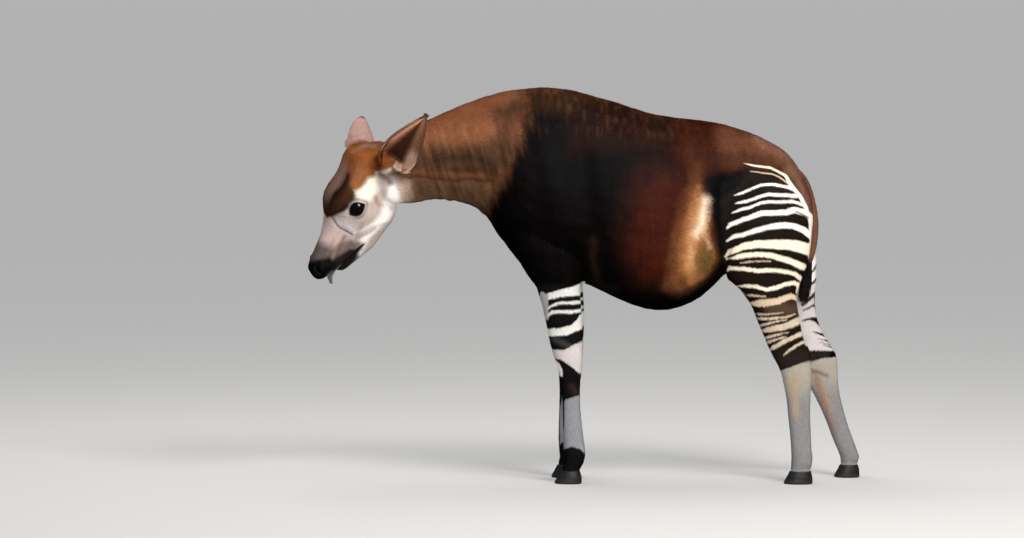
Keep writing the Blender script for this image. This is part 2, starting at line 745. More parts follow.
BODY_AREAS = [
    ([(389, 1257), (486, 1280), (623, 1249), (654, 1155), (631, 960), (576, 788), (459, 765), (358, 781),
      (311, 863), (295, 1007), (319, 1147), (342, 1217)], 54, (0.020, 0.0046, 0.0027), 1),
    ([(412, 1186), (482, 1210), (584, 1175), (576, 960), (506, 796), (408, 804), (358, 902),
      (358, 1069)], 46, (0.044, 0.0074, 0.0029), 0.95),
    ([(77, 1459), (233, 1475), (428, 1436), (623, 1370), (623, 1280), (428, 1303), (272, 1311),
      (116, 1311)], 55, (0.0150, 0.0042, 0.0023), 0.9),
    ([(-157, 1662), (1247, 1662), (1247, 1214), (1071, 1155), (974, 1264), (857, 1319), (740, 1342),
      (623, 1354), (506, 1381), (389, 1405), (272, 1432), (155, 1448), (38, 1459), (-79, 1475),
      (-138, 1491)], 42, (0.0170, 0.0054, 0.0024), 1),
    ([(-157, 1662), (1247, 1662), (1247, 1214), (1071, 1175), (974, 1292), (857, 1354), (740, 1389),
      (623, 1405), (506, 1432), (389, 1459), (272, 1491), (155, 1514), (38, 1526), (-79, 1522),
      (-138, 1518)], 26, (0.043, 0.0145, 0.0056), 1),
    ([(514, 1459), (779, 1506), (779, 1233), (670, 1225), (623, 1210), (560, 1225),
      (514, 1311)], 50, (0.036, 0.0075, 0.0020), 1),
    ([(709, 1459), (1247, 1662), (1325, 882), (1099, 874), (1071, 921), (1056, 1019), (1044, 1085),
      (1017, 1132), (974, 1194), (927, 1229), (865, 1249), (798, 1253), (755, 1249), (724, 1272),
      (693, 1350)], 50, (0.105, 0.036, 0.017), 1),
    ([(-1016, 1662), (-83, 1623), (-64, 1506), (-64, 1420), (-87, 1350), (-111, 1280), (-142, 1225),
      (-169, 1175), (-196, 1128), (-208, 1093), (-274, 960), (-1016, 960)], 44, (0.140, 0.052, 0.023), 1),
    ([(-555, 1303), (-450, 1327), (-313, 1346), (-157, 1346), (-111, 1311), (-134, 1241), (-189, 1210),
      (-352, 1217), (-489, 1225), (-563, 1210)], 30, (0.057, 0.0285, 0.0145), 0.9),
    ([(-579, 1194), (-391, 1190), (-212, 1182), (-196, 1147), (-208, 1093), (-391, 1093),
      (-579, 1093)], 15, (0.092, 0.048, 0.026), 0.9),
    ([(-625, 1210), (-540, 1202), (-516, 1171), (-520, 1124), (-536, 1085),
      (-625, 1077)], 26, (0.44, 0.325, 0.26), 0.9),
    ([(623, 1194), (662, 1214), (716, 1210), (798, 1233), (849, 1202), (810, 1155), (752, 1097),
      (716, 960), (713, 843), (693, 851), (666, 960), (646, 1058), (623, 1124)], 20, NIGHT, 1),
]
BODY_STROKES = [
    ([(-450, 1405), (-294, 1467), (-126, 1506)], 36, 46, (0.175, 0.061, 0.027), 0.95),
    ([(-528, 1327), (-372, 1374), (-216, 1389)], 30, 46, (0.250, 0.095, 0.045), 0.9),
    ([(-423, 1272), (-294, 1288), (-157, 1272)], 10, 18, (0.028, 0.015, 0.009), 0.75),
    ([(-540, 1206), (-391, 1202), (-204, 1190)], 7, 12, (0.034, 0.018, 0.011), 0.9),
    ([(-555, 1089), (-391, 1093), (-220, 1085)], 10, 18, (0.050, 0.028, 0.018), 0.8),
    ([(-407, 1163), (-333, 1171)], 12, 14, (0.078, 0.041, 0.025), 0.7),
    ([(-122, 1483), (-153, 1381), (-185, 1253)], 18, 38, (0.060, 0.027, 0.014), 0.88),
    ([(-157, 1459), (-1, 1491), (116, 1483)], 20, 40, (0.036, 0.016, 0.0065), 0.8),
    ([(720, 1342), (798, 1335), (876, 1303)], 24, 36, (0.130, 0.050, 0.026), 0.8),
    ([(849, 1358), (935, 1311), (1009, 1241)], 18, 36, (0.260, 0.125, 0.085), 0.9),
    ([(974, 1233), (1036, 1147), (1064, 1038), (1079, 941)], 10, 22, (0.230, 0.120, 0.080), 0.8),
    ([(701, 1264), (787, 1288), (876, 1272)], 12, 26, (0.060, 0.022, 0.012), 0.7),
    ([(389, 1370), (486, 1358)], 14, 40, (0.036, 0.012, 0.0055), 0.7),
    ([(584, 1311), (599, 1210)], 22, 34, (0.055, 0.016, 0.0065), 0.8),
    ([(186, 788), (272, 734), (389, 703), (486, 695), (584, 718), (654, 765),
      (709, 823)], 36, 26, VELVET, 1),
    ([(198, 960), (205, 874), (217, 804)], 10, 22, (0.020, 0.010, 0.007), 0.8),
]
PATCH_AREAS = [
    ([(603, 1249), (623, 1155), (642, 1069), (662, 976), (689, 890), (674, 827), (615, 773), (537, 745),
      (482, 777), (494, 894), (521, 1019), (560, 1139)], 36, (0.155, 0.055, 0.020), 1),
    ([(607, 1171), (627, 1085), (646, 983), (666, 898), (646, 820), (576, 788), (533, 851), (549, 976),
      (576, 1093)], 26, (0.400, 0.172, 0.062), 1),
    ([(631, 976), (658, 937), (677, 882), (650, 827), (607, 816), (599, 890)], 18, (0.120, 0.070, 0.021),
      0.9),
]
PATCH_STROKES = [
    ([(584, 976), (568, 874)], 10, 18, (0.600, 0.360, 0.180), 0.8),
    ([(631, 1116), (619, 1054), (599, 991)], 12, 26, (0.930, 0.740, 0.560), 0.92),
    ([(627, 1030), (642, 983), (654, 937)], 4, 14, (0.700, 0.480, 0.290), 0.6),
]


def body_ground(points, x, z):
    """The coat's colour on neck, trunk and rump, without the white bands."""
    # the neck's skin lies in upright creases, which show as streaks
    streak = noise(upright(points, z), 11, 25)
    fibre = noise(np.stack([points[:, 0], points[:, 1] / 3, z / 9], 1), 9, 26)
    shoulder = soft(-330, -230, x) * soft(60, -20, x)
    x = x + noise(points, 70, 21) * 9 + noise(points, 22, 22) * 4 + 22 * streak * shoulder
    z = z + noise(points, 70, 23) * 9 + noise(points, 22, 24) * 4
    colour = repeated(VELVET, points)
    for outline, edge, new, strength in BODY_AREAS + PATCH_AREAS:
        colour = region(colour, x, z, outline, edge, new, strength)
    for line, width, edge, new, strength in BODY_STROKES + PATCH_STROKES:
        colour = stroke(colour, x, z, line, width, edge, new, strength)
    # brown fibres show on the dark withers and back
    crest = soft(1330, 1400, z) * soft(-120, 0, x) * soft(640, 500, x)
    colour = colour + (crest * np.maximum(fibre, 0))[:, None] * [0.030, 0.013, 0.007]
    neck = soft(-560, -480, x) * soft(-60, -150, x)
    low = soft(1440, 1280, z)
    cloud = 0.12 * noise(points, 48, 27) + 0.10 * noise(points, 17, 28)
    return colour * (1 + 0.5 * streak * neck * low + 0.22 * fibre * (1 - neck) + cloud)[:, None]


C, W, Y, T, S, V, G, F = CREAM, WHITE, YELLOW, TAN, SAND, LAVENDER, GREY, FORE
BANDS = [  # the white bands: centre line, first and last width, colour
    ([(791, 1260), (833, 1249), (896, 1243), (923, 1229), (954, 1212), (974, 1184), (990, 1162)], 6, 12, C),
    ([(950, 1212), (974, 1180), (992, 1157), (1013, 1132), (1036, 1085), (1056, 1019), (1060, 960),
      (1056, 894)], 14, 16, W),
    ([(812, 1229), (861, 1223), (900, 1219), (927, 1207), (954, 1190), (980, 1168)], 4, 5, T),
    ([(752, 1136), (779, 1143), (818, 1159), (857, 1175), (900, 1178), (927, 1175), (966, 1167),
      (986, 1159)], 8, 13, W),
    ([(755, 1104), (802, 1112), (845, 1128), (888, 1139), (927, 1139), (997, 1133)], 10, 14, W),
    ([(744, 1068), (779, 1081), (818, 1089), (857, 1106), (900, 1112), (986, 1112),
      (1029, 1097)], 10, 12, W),
    ([(724, 1007), (740, 1024), (779, 1038), (818, 1050), (861, 1067), (900, 1068), (954, 1070),
      (986, 1079), (1032, 1069), (1058, 1047)], 15, 26, W),
    ([(724, 956), (752, 976), (791, 983), (833, 999), (900, 1016), (943, 1021), (986, 1016), (1031, 999),
      (1060, 976)], 14, 27, W),
    ([(720, 894), (740, 915), (791, 937), (845, 948), (900, 948), (954, 946), (1009, 937),
      (1058, 921)], 16, 47, Y),
    ([(728, 886), (791, 902), (845, 909), (900, 904), (943, 890), (986, 877), (1031, 855)], 16, 25, Y),
    ([(779, 875), (812, 879), (867, 883), (900, 881)], 5, 5, T),
    ([(731, 841), (740, 852), (791, 851), (845, 844), (900, 845), (954, 839), (997, 831),
      (1025, 806)], 16, 16, Y),
    ([(763, 778), (802, 783), (840, 781), (884, 770), (922, 776), (954, 789), (993, 795), (1014, 784),
      (1009, 757)], 12, 18, Y),
    ([(810, 745), (841, 745), (880, 742)], 11, 4, T),
    ([(818, 712), (876, 716), (927, 724), (958, 735), (982, 742), (1005, 730)], 31, 18, T),
    ([(841, 671), (880, 672), (919, 674), (947, 679)], 9, 4, S),
    ([(845, 654), (888, 654), (927, 656), (966, 662), (993, 671)], 12, 4, T),
    ([(853, 623), (888, 634), (923, 642), (962, 650)], 10, 5, S),
    ([(861, 603), (896, 611), (935, 619), (974, 629), (1005, 642), (1029, 652)], 18, 31, S),
    ([(869, 573), (904, 584), (935, 593), (970, 601)], 13, 4, S),
    ([(880, 556), (915, 568), (943, 577), (962, 584)], 13, 4, S),
    ([(892, 527), (927, 547), (958, 566), (993, 582), (1021, 593), (1052, 601)], 15, 18, S),
    ([(952, 509), (974, 528), (1001, 547), (1025, 558), (1052, 566)], 6, 13, S),
    ([(1003, 734), (1011, 706), (1017, 675), (1025, 640), (1032, 601), (1048, 554)], 12, 22, V),
    ([(8, 752), (14, 726), (21, 690), (26, 652)], 46, 12, G),
    ([(26, 687), (45, 705), (77, 716), (116, 717), (190, 717)], 8, 13, F),
    ([(18, 648), (34, 669), (49, 680), (77, 681), (116, 681), (190, 687)], 10, 14, F),
]
PATCHES = [  # larger white areas
    ([(1052, 1046), (1140, 1046), (1140, 850), (1052, 850)], W),
    ([(888, 484), (919, 465), (943, 449), (974, 461), (1005, 474), (1036, 484), (1095, 496), (1188, 336),
      (1188, -54), (798, -54), (798, 336)], HOCK),
    ([(25, 752), (45, 759), (77, 767), (124, 779), (190, 800), (190, 744), (116, 743), (77, 738),
      (30, 729)], F),
    ([(0, 609), (30, 613), (77, 617), (120, 628), (143, 648), (155, 667), (195, 675), (195, 617),
      (135, 601), (108, 589), (77, 586), (34, 584), (8, 582)], F),
    ([(14, 531), (96, 531), (124, 547), (155, 560), (198, 570), (198, 440), (155, 437), (135, 453),
      (116, 472), (85, 492), (57, 496), (24, 504)], V),
    ([(25, 500), (61, 488), (77, 476), (88, 453), (88, 426), (73, 426), (29, 445)], W),
    ([(96, 332), (120, 342), (155, 353), (204, 362), (212, 117), (178, 117), (155, 141), (124, 151),
      (100, 143), (92, 133), (92, 219)], LEG),
]
INNER_LINES = [  # dark lines on the pale inner side of the thighs
    ([(1028, 813), (1045, 829), (1084, 873)], 7, 9),
    ([(1019, 762), (1041, 778), (1084, 817)], 8, 10),
    ([(993, 695), (1015, 710), (1045, 734)], 16, 12),
    ([(994, 671), (1019, 681), (1049, 696)], 7, 9),
    ([(986, 631), (1018, 637), (1038, 633), (1062, 609)], 6, 24),
    ([(1019, 585), (1037, 578), (1069, 566)], 3, 14),
    ([(1027, 558), (1074, 544)], 2, 8),
    ([(1031, 544), (1071, 532)], 2, 5),
    ([(1043, 532), (1072, 522)], 2, 5),
    ([(932, 492), (988, 492), (1106, 488)], 36, 40),
]
DARK_LINES = [
    ([(993, 1072), (1017, 1063), (1042, 1049)], 5, 5),
    ([(740, 898), (791, 921), (845, 930), (900, 923), (954, 913), (1009, 902), (1052, 878)], 5, 9),
    ([(758, 879), (845, 890)], 4, 4),
    ([(853, 571), (879, 581)], 6, 3),
]


FAR = -40.0  # the band field well outside the white


def cut_by(field, x, z, lines):
    """The field without dark lines of a first and a last width."""
    for line, first, last in lines:
        d, share = line_distance(x, z, line)
        field = np.minimum(field, d - 0.5 * (first + (last - first) * share))
    return field


def band_field(points, normal):
    """Signed distance to the white of the legs in millimetres, positive inside, and the white's colour."""
    x, z = leg_place(points)
    x = x + noise(points, 40, 31) * 2.5
    z = z + noise(points, 40, 32) * 1.3 + noise(points, 11, 33) * 0.15
    best = np.full(len(points), FAR)
    colour = repeated(WHITE, points)
    for line, first, last, tone in BANDS:
        d, share = line_distance(x, z, line)
        # a band begins as a point, and is full after a seventh of its way
        d = 0.5 * (first + (last - first) * share) * (0.35 + 0.65 * soft(0, 0.15, share)) - d
        colour[d > best] = tone
        best = np.maximum(best, d)
    for outline, tone in PATCHES:
        d = inside(x, z, outline)
        colour[d > best] = tone
        best = np.maximum(best, d)
    best = cut_by(best, x, z, DARK_LINES)
    best = np.where(x < 500, np.minimum(best, 176 - x), best)
    # the thighs' inner sides are pale with a few dark lines
    pale = cut_by(np.minimum(30.0, 0.5 * (z - 440)), x, z, INNER_LINES)
    # under the hock the grey is creamy, with a tan streak down its middle
    low = (z < 480) & (best > -6)
    creamy = 0.85 * soft(500, 470, z) * soft(300, 430, z) * soft(860, 900, x)
    colour = mix(colour, (0.42, 0.375, 0.305), creamy * low)
    tan = np.exp(-((x - 992 - 0.06 * (430 - z)) / 17) ** 2) * soft(450, 400, z) * soft(230, 300, z)
    colour = mix(colour, (0.42, 0.31, 0.19), 0.75 * tan * low)
    within = soft(0.15, 0.5, -normal[:, 1] * np.sign(points[:, 1]))
    # the far leg is deeper from front to back, and pale behind
    behind = soft(0.15, 0.5, normal[:, 0]) * soft(1036, 1052, x) * soft(0, 20, points[:, 1])
    red = np.exp(-((x - 990) / 15) ** 2) * soft(450, 390, z) * soft(130, 210, z) * within
    colour = mix(colour, (0.30, 0.18, 0.14), 0.8 * red)
    d, _ = line_distance(x, z, [(974, 431), (1000, 426), (1035, 410)])
    colour = mix(colour, (0.15, 0.105, 0.085), 0.7 * soft(14, 2, d) * within)
    within = np.maximum(within, behind) * soft(640, 700, x) * soft(470, 500, z) * soft(1010, 960, z)
    inner = mix(repeated(WHITE, points), LAVENDER, soft(800, 720, z))
    colour = mix(colour, inner, within)
    return best + (pale - best) * within, colour


THIGH = [(700, 1116), (770, 1180), (798, 1232), (915, 1214), (985, 1150), (1060, 1050), (1075, 726),
         (1050, 400), (850, 400), (759, 765), (712, 874)]
FACE_AREAS = [
    ([(126, -133), (84, -129), (92, -164), (129, -197), (187, -205), (242, -185), (308, -161), (400, -156),
      (393, -117), (305, -133), (214, -152)], 14, (0.96, 0.92, 0.89), 0.95),
    ([(54, -135), (10, -219), (143, -289), (183, -212), (129, -197)], 18, (0.46, 0.335, 0.265), 0.95),
    ([(77, 129), (18, 120), (-24, 57), (-16, 4), (2, -5), (47, 47), (126, 36), (198, 39), (253, 50),
      (315, 58), (299, 129), (134, 153)], 7, (0.235, 0.128, 0.095), 1),
    ([(63, 69), (18, 35), (-33, -45), (-48, -109), (22, -128), (58, -84), (92, -71), (123, -55),
      (158, -38), (180, -14), (156, 25), (114, 47)], 9, (0.235, 0.070, 0.017), 1),
    ([(100, 37), (74, 15), (79, -19), (96, -46), (128, -45), (157, -33), (173, -10),
      (152, 18)], 22, (0.270, 0.102, 0.040), 1),
    ([(124, 33), (164, 8), (187, -26), (211, -30), (241, -28), (265, -21), (288, -8), (315, 13), (333, 40),
      (294, 69), (246, 54), (195, 40)], 8, (0.050, 0.019, 0.0085), 1),
    ([(110, -44), (89, -69), (127, -98), (182, -95), (202, -57), (188, -32),
      (153, -40)], 15, (0.90, 0.84, 0.71), 1),
    ([(315, 13), (333, -36), (337, -96), (370, -109), (427, -103), (539, -95), (601, 24), (478, 44),
      (358, 53)], 11, (0.55, 0.43, 0.405), 1),
    ([(428, 34), (413, -29), (413, -78), (422, -114), (492, -115), (546, -99), (608, 20),
      (492, 54)], 27, (0.090, 0.068, 0.064), 0.95),
    ([(398, -57), (357, -93), (347, -137), (375, -152), (421, -132), (478, -108), (497, -73),
      (444, -54)], 11, (0.150, 0.100, 0.090), 0.9),
    ([(487, -41), (440, -79), (393, -108), (377, -140), (407, -151), (446, -144), (503, -130),
      (555, -81)], 9, (0.013, 0.010, 0.009), 0.97),
    ([(23, -92), (1, -117), (-55, -207), (127, -303), (150, -257), (103, -228), (72, -203), (57, -155),
      (58, -111)], 20, (0.120, 0.062, 0.036), 1),
    ([(-33, -118), (-7, -111), (18, -111), (29, -121), (27, -139), (12, -167), (-11, -182),
      (-49, -153)], 5, (0.46, 0.285, 0.205), 0.85),
]
NOSE_AREA = [(538, 50), (494, -9), (458, -53), (463, -87), (505, -160), (640, -125), (673, 60)]
FACE_STROKES = [
    ([(142, 33), (200, 33), (250, 43), (298, 49), (333, 48)], 9, 20, (0.010, 0.006, 0.005), 1),
    ([(329, 41), (300, 12), (270, -12), (240, -19)], 4, 9, (0.018, 0.010, 0.008), 0.9),
    ([(177, -3), (203, -4), (230, 4)], 7, 12, (0.060, 0.024, 0.010), 0.7),
    ([(200, -27), (228, -24), (258, -15)], 6, 9, (0.016, 0.010, 0.0045), 0.85),
    ([(84, 76), (143, 68), (196, 67), (240, 66)], 4, 8, (0.36, 0.21, 0.165), 0.55),
    ([(101, 23), (142, 15), (180, 4)], 5, 9, (0.13, 0.045, 0.016), 0.5),
    ([(66, -44), (41, -66), (16, -97)], 6, 12, (0.075, 0.024, 0.008), 0.6),
    ([(18, 17), (-11, -30), (-23, -77)], 5, 12, (0.090, 0.030, 0.010), 0.5),
    ([(78, -63), (57, -88), (39, -105)], 3, 9, (0.74, 0.65, 0.55), 0.8),
    ([(81, -83), (79, -113), (88, -131)], 9, 11, (0.115, 0.078, 0.058), 0.8),
    ([(167, -106), (185, -124)], 7, 9, (0.24, 0.17, 0.13), 0.75),
    ([(-47, -123), (-17, -109), (10, -104)], 3, 7, (0.035, 0.013, 0.007), 0.75),
    ([(23, -114), (29, -127), (24, -146), (10, -170)], 2, 4, (0.78, 0.60, 0.50), 0.8),
    ([(321, -17), (315, -45), (320, -78)], 12, 14, (0.64, 0.58, 0.66), 0.85),
    ([(313, 10), (333, -36), (337, -96)], 3, 4, (0.10, 0.07, 0.06), 0.85),
    ([(332, -98), (289, -129), (244, -164), (201, -177)], 6, 6, (0.92, 0.86, 0.82), 0.9),
    ([(344, -109), (312, -137), (276, -154)], 5, 8, (0.30, 0.23, 0.20), 0.7),
    ([(264, -40), (277, -25), (288, -13)], 5, 8, (0.33, 0.32, 0.33), 0.8),
    ([(278, -48), (289, -27), (297, -4)], 2, 5, (0.20, 0.17, 0.17), 0.7),
    ([(199, -104), (179, -125), (181, -148)], 4, 9, (0.38, 0.31, 0.28), 0.5),
    ([(284, -104), (309, -108), (328, -105)], 7, 10, (0.34, 0.27, 0.25), 0.7),
    ([(391, -36), (434, -40), (472, -43)], 5, 9, (0.20, 0.145, 0.135), 0.5),
    ([(393, -59), (431, -61), (468, -67)], 4, 7, (0.30, 0.215, 0.195), 0.55),
    ([(357, -67), (392, -68), (430, -65)], 6, 10, (0.17, 0.12, 0.11), 0.85),
]


def lips(points):
    """1 on the lips and in the mouth."""
    h = to_head(points)
    gap = off_mouth(h)
    wide = 7 + 14 * soft(380, 480, h[:, 0])
    return soft(wide + 7, wide - 4, gap) * soft(338, 356, h[:, 0])


def face_colour(points):
    a, b, out = side_of_face(points)
    a = a + noise(points, 30, 41) * 2.5 + noise(points, 9, 42) * 0.9
    b = b + noise(points, 30, 43) * 2.5 + noise(points, 9, 44) * 0.9
    colour = repeated((0.51, 0.425, 0.390), points)
    for outline, edge, new, strength in FACE_AREAS:
        colour = region(colour, a, b, outline, edge, new, strength)
    for line, width, edge, new, strength in FACE_STROKES:
        colour = stroke(colour, a, b, line, width, edge, new, strength)
    # a paler strip over the forehead, past its crest
    y = to_head(points)[:, 1]
    crest = soft(14, -16, y) * soft(-88, -40, y) * soft(60, 125, a) * soft(310, 225, a) * soft(-10, 20, b)
    colour = mix(colour, (0.24, 0.135, 0.105), 0.75 * crest)
    colour = region(colour, a, b, NOSE_AREA, 13, (0.0038, 0.0035, 0.0035))
    # behind the ears the neck's brown begins
    colour = mix(colour, (0.165, 0.060, 0.026), soft(10, -20, a) * soft(-165, -125, b))
    d = lid_distance(*side_of_face(points)[:2])
    ring = soft(-17, -6, d) * (out > EYE_OUT)
    colour = mix(colour, (0.36, 0.31, 0.30), 0.7 * ring)
    lift = -0.885 * (a - LID_CENTRE[0]) + 0.465 * (b - LID_CENTRE[1])
    above = soft(6, 18, lift)
    crease = 0.65 * np.exp(-((d + 13) / 3) ** 2) * above
    colour = mix(colour, (0.24, 0.19, 0.18), crease * (out > EYE_OUT))
    colour = mix(colour, (0.008, 0.007, 0.007), soft(-6, -2.5, d) * (out > EYE_OUT - 4))
    return mix(colour, (0.012, 0.009, 0.009), lips(points))


def ear_places(points, spec):
    """For points near an ear: share along it and across it, how far off its leaf, and the way it faces."""
    start, along, across, look, length, side = ear_frame(spec)
    q = points - start
    s = np.clip(q @ along / length, 0, 1)
    q = q - (4 * s * (1 - s))[:, None] * side
    half = spec["leaf"](s) * EAR_HALF_WIDTH
    turned = roll(s)
    radius = half / np.sin(np.minimum(turned, math.pi / 2))
    y, z = q @ across, q @ look
    z = z - radius + 0.5 * radius * (1 - np.cos(turned))
    off = np.abs(np.hypot(y, z) - radius + EAR_WALL / 2)
    share = np.arctan2(y, -z) / turned
    beyond = np.maximum(np.abs(q @ along / length - 0.5) - 0.5, 0) * length
    return s, share, np.hypot(off, beyond), look


def ear_colour(share, s, inner, far):
    """Colour of the ear, for its place and which of its sides shows. Share 1 is the rim on top."""
    back = (0.37, 0.222, 0.200) if far else (0.20, 0.085, 0.045)
    colour = repeated(back, s)
    patch = 0.6 * soft(0.3, 0.8, share) * soft(0.25, 0.4, s) * soft(0.6, 0.45, s)
    colour = mix(colour, (0.55, 0.42, 0.35), patch * far)
    within = repeated((0.300, 0.125, 0.060), s)
    within = mix(within, (0.84, 0.46, 0.31), soft(0.2, 0.62, share) * soft(0.18, 0.4, s))
    within = mix(within, (0.20, 0.065, 0.022), soft(0.5, 0.8, share) * soft(0.34, 0.2, s))
    within = mix(within, (0.23, 0.115, 0.065), soft(-0.2, -0.45, share))
    within = mix(within, (0.56, 0.36, 0.265), soft(-0.35, -0.6, share) * soft(0.40, 0.26, s))
    # the hollow is darkest along its middle and narrows to the tip
    half = 0.36 - 0.26 * s
    hollow = soft(half + 0.26, half - 0.10, np.abs(share + 0.10))
    hollow = hollow * soft(0.04, 0.14, s) * soft(1.0, 0.8, s)
    within = mix(within, (0.034, 0.0115, 0.0056), 0.95 * hollow)
    colour = mix(colour, within, inner)
    rim = soft(0.93, 0.99, np.abs(share)) * soft(0.3, 0.45, s) * (0.8 if far else 0.6)
    colour = mix(colour, (0.040, 0.025, 0.022), rim)
    return mix(colour, (0.035, 0.020, 0.015), soft(0.86, 0.96, s))


def ground_colour(points, normal):
    """The colour of the coat or bare skin, without the white bands."""
    x, z = leg_place(points)
    colour = body_ground(points, x, z)
    thigh = soft(-14, 14, inside(x, z, THIGH))
    deep = mix(repeated(UNDER, points), (0.010, 0.006, 0.005), soft(880, 740, x) * soft(880, 1000, z))
    deep = stroke(deep, x, z, [(900, 700), (960, 690), (1010, 690)], 26, 20, (0.078, 0.047, 0.029))
    deep = mix(deep, (0.020, 0.013, 0.010), soft(560, 500, z))
    colour = mix(colour, deep, thigh)
    fore = soft(800, 770, z) * soft(330, 280, x)
    knee = repeated(BLACK, points)
    knee = stroke(knee, x, z, [(55, 572), (100, 553), (138, 524)], 7, 18, (0.055, 0.055, 0.058))
    knee = stroke(knee, x, z, [(122, 388), (142, 362)], 9, 16, (0.032, 0.019, 0.014))
    colour = mix(colour, knee, fore)
    colour = mix(colour, (0.006, 0.006, 0.007), soft(75, 60, z))
    near = np.nonzero(on_head(points) > 0)[0]
    if len(near):
        weight = soft(0.1, 0.9, on_head(points[near]))
        colour[near] = mix(colour[near], face_colour(points[near]), weight)
    on_tail, t = tail_share(points)
    tail = mix(repeated((0.155, 0.070, 0.042), points), (0.006, 0.005, 0.005), soft(0.88, 0.96, t))
    colour = mix(colour, tail, on_tail)
    for name, spec in EARS.items():
        s, share, off, look = ear_places(points, spec)
        mine = soft(20, 11, off) * soft(0.04, 0.14, s)
        near = np.nonzero(mine > 0)[0]
        if len(near):
            inner = soft(-0.1, 0.2, normal[near] @ look)
            ear = ear_colour(share[near], s[near], inner, name == "right")
            colour[near] = mix(colour[near], ear, mine[near])
    return colour


def tail_place(points):
    """Distance to the tail's line and the share of the way down it."""
    t = np.linspace(0, 1, 40)
    line = tail_point(t)
    best = np.full(len(points), 1e9)
    share = np.zeros(len(points))
    near = np.nonzero(points[:, 0] > 900)[0]
    for value, p in zip(t, line):
        d = np.linalg.norm(points[near] - p, axis=1)
        closer = d < best[near]
        share[near[closer]] = value
        best[near[closer]] = d[closer]
    return best, share


def tail_share(points):
    """How much a point belongs to the tail's rope, and the share of the way down it."""
    d, t = tail_place(points)
    return soft(9, 3, d - tail_radius(t)) * soft(0.04, 0.16, t), t


def full_colour(points, normal, ragged):
    """Ground and bands together, for tufts, which each have one colour."""
    colour = ground_colour(points, normal)
    x, z = points[:, 0], points[:, 2]
    low = np.nonzero(((z < HIND_TOP - 15) & (x > HIND_START) | (z < FORE_TOP + 10)) & (x > FORE_START))[0]
    field, pale = band_field(points[low], normal[low])
    field = np.where(tail_share(points[low])[0] > 0.3, -9, field)
    colour[low] = mix(colour[low], pale, soft(-2.6, 2.6, field + ragged[low]))
    return colour


def attribute(mesh, name, values):
    kind = "FLOAT" if values.ndim == 1 else "FLOAT_COLOR"
    made = mesh.attributes.new(name, kind, "POINT")
    if values.ndim == 1:
        made.data.foreach_set("value", values.astype(np.float32))
    else:
        rgba = np.concatenate([np.clip(values, 0, 1), np.ones((len(values), 1))], 1)
        made.data.foreach_set("color", rgba.astype(np.float32).ravel())


field, pale = band_field(P, N)
head_part = on_head(P)
field = np.where((tail_share(P)[0] > 0.3) | (P[:, 2] > HIND_TOP) | (head_part > 0), FAR, field)
attribute(skin.data, "ground", ground_colour(P, N))
attribute(skin.data, "pale", pale)
attribute(skin.data, "band", np.clip(0.5 + field / 12, 0, 1))
attribute(skin.data, "lie", np.maximum(soft(950, 800, P[:, 2]), head_part))
attribute(skin.data, "bare", head_part * np.maximum(soft(480, 520, to_head(P)[:, 0]), lips(P)))


# ---- the coat's tufts
def flow(points):
    """The way the hair lies."""
    out = repeated((0.93, 0.0, -0.36), points)
    down = soft(1130, 850, points[:, 2]) * (soft(700, 760, points[:, 0]) + soft(260, 200, points[:, 0]))
    out = out + (np.array([0.05, 0, -1]) - out) * np.clip(down, 0, 1)[:, None]
    rump = soft(860, 960, points[:, 0]) * soft(1000, 1150, points[:, 2])
    out = out + (np.array([0.35, 0, -0.9]) - out) * rump[:, None]
    head = on_head(points)
    up = -NOSE + 0.25 * np.array([0, 0, -1])
    out = out + (up - out) * head[:, None]
    return out


skin.data.calc_loop_triangles()
TRIANGLES = np.empty(len(skin.data.loop_triangles) * 3, np.int32)
skin.data.loop_triangles.foreach_get("vertices", TRIANGLES)
TRIANGLES = TRIANGLES.reshape(-1, 3)
CORNERS = P[TRIANGLES]
SIDES = CORNERS[:, 1:] - CORNERS[:, :1]
AREAS = 0.5 * np.linalg.norm(np.cross(SIDES[:, 0], SIDES[:, 1]), axis=1)


def scatter(weights, count):
    """Roots and normals of count tufts, spread over the skin by weight for its triangles."""
    share = np.cumsum(weights * AREAS)
    pick = np.searchsorted(share, rng.random(count) * share[-1])
    pick = np.minimum(pick, len(share) - 1)
    u, v = rng.random(count), rng.random(count)
    over = u + v > 1
    u[over], v[over] = 1 - u[over], 1 - v[over]
    w = np.stack([1 - u - v, u, v], 1)
    tri = TRIANGLES[pick]
    return (P[tri] * w[:, :, None]).sum(1), unit((N[tri] * w[:, :, None]).sum(1))


